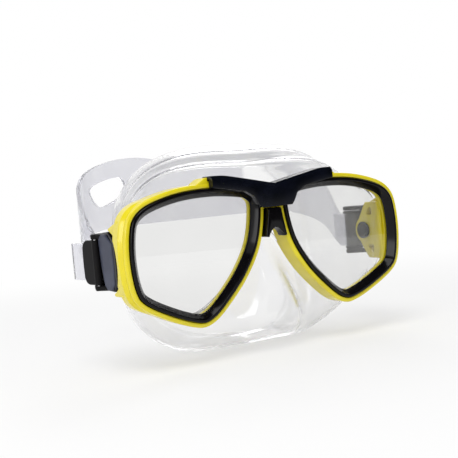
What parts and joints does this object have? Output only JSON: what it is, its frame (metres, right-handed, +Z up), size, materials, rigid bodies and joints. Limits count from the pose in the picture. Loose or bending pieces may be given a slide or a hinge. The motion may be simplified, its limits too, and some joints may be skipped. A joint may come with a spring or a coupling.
{
  "type": "snorkel mask",
  "caption": "Twin-lens snorkel mask with a moulded frame, clear silicone skirt and nose pocket, swivel buckles with rollers and an adjustable head strap.",
  "frame": {"origin": "middle of the face seal's plane, at the height of the lenses' middle", "axes": "+Z up as worn, -Y the way the wearer looks, +X to the right as seen from the front"},
  "size_m": [0.1688, 0.1008, 0.1041],
  "materials": {
    "silicone": "clear moulded silicone, satin",
    "frame_yellow": "glossy lemon-yellow moulded plastic",
    "lens_glass": "clear tempered glass",
    "rim_black": "glossy black moulded plastic",
    "cover_navy": "dark navy moulded plastic, satin gloss",
    "buckle_slate": "slate moulded plastic, satin",
    "tab_black": "matte black moulded nylon",
    "pin_steel": "plain stainless pin"
  },
  "bodies": {
    "mask": {"face_skirt": "silicone", "main_frame": "frame_yellow", "lens_left": "lens_glass", "lens_right": "lens_glass", "lens_rim_left": "rim_black", "lens_rim_right": "rim_black", "bridge_cover": "cover_navy", "nose_yoke": "rim_black"},
    "strap_and_buckles": {"strap": "silicone", "buckle_body_left": "buckle_slate", "buckle_body_right": "buckle_slate", "pivot_stud_left": "tab_black", "pivot_stud_right": "tab_black", "pivot_washer_left": "tab_black", "pivot_washer_right": "tab_black", "roller_axle_left": "pin_steel", "roller_axle_right": "pin_steel", "tab_pin_left": "pin_steel", "tab_pin_right": "pin_steel"},
    "roller_left": {"strap_roller_left": "tab_black"},
    "roller_right": {"strap_roller_right": "tab_black"},
    "tab_left": {"release_tab_left": "tab_black"},
    "tab_right": {"release_tab_right": "tab_black"}
  },
  "joints": [
    {"name": "strap_swing", "type": "hinge", "parent": "mask", "child": "strap_and_buckles", "pos_m": [0, -0.0365, 0.0005], "axis": [1, 0, 0], "range_deg": [-35, 35]},
    {"name": "roller_left_spin", "type": "hinge", "parent": "strap_and_buckles", "child": "roller_left", "pos_m": [-0.076, -0.0225, 0.0005], "axis": [0, 0, 1], "continuous": true},
    {"name": "roller_right_spin", "type": "hinge", "parent": "strap_and_buckles", "child": "roller_right", "pos_m": [0.076, -0.0225, 0.0005], "axis": [0, 0, 1], "continuous": true},
    {"name": "tab_left_lift", "type": "hinge", "parent": "strap_and_buckles", "child": "tab_left", "pos_m": [-0.08153, -0.02975, 0.0005], "axis": [0, 0, 1], "range_deg": [0, 20], "stiffness_Nm_per_rad": 0.02, "springref_deg": -8.59},
    {"name": "tab_right_lift", "type": "hinge", "parent": "strap_and_buckles", "child": "tab_right", "pos_m": [0.08153, -0.02975, 0.0005], "axis": [0, 0, -1], "range_deg": [0, 20], "stiffness_Nm_per_rad": 0.02, "springref_deg": -8.59}
  ]
}
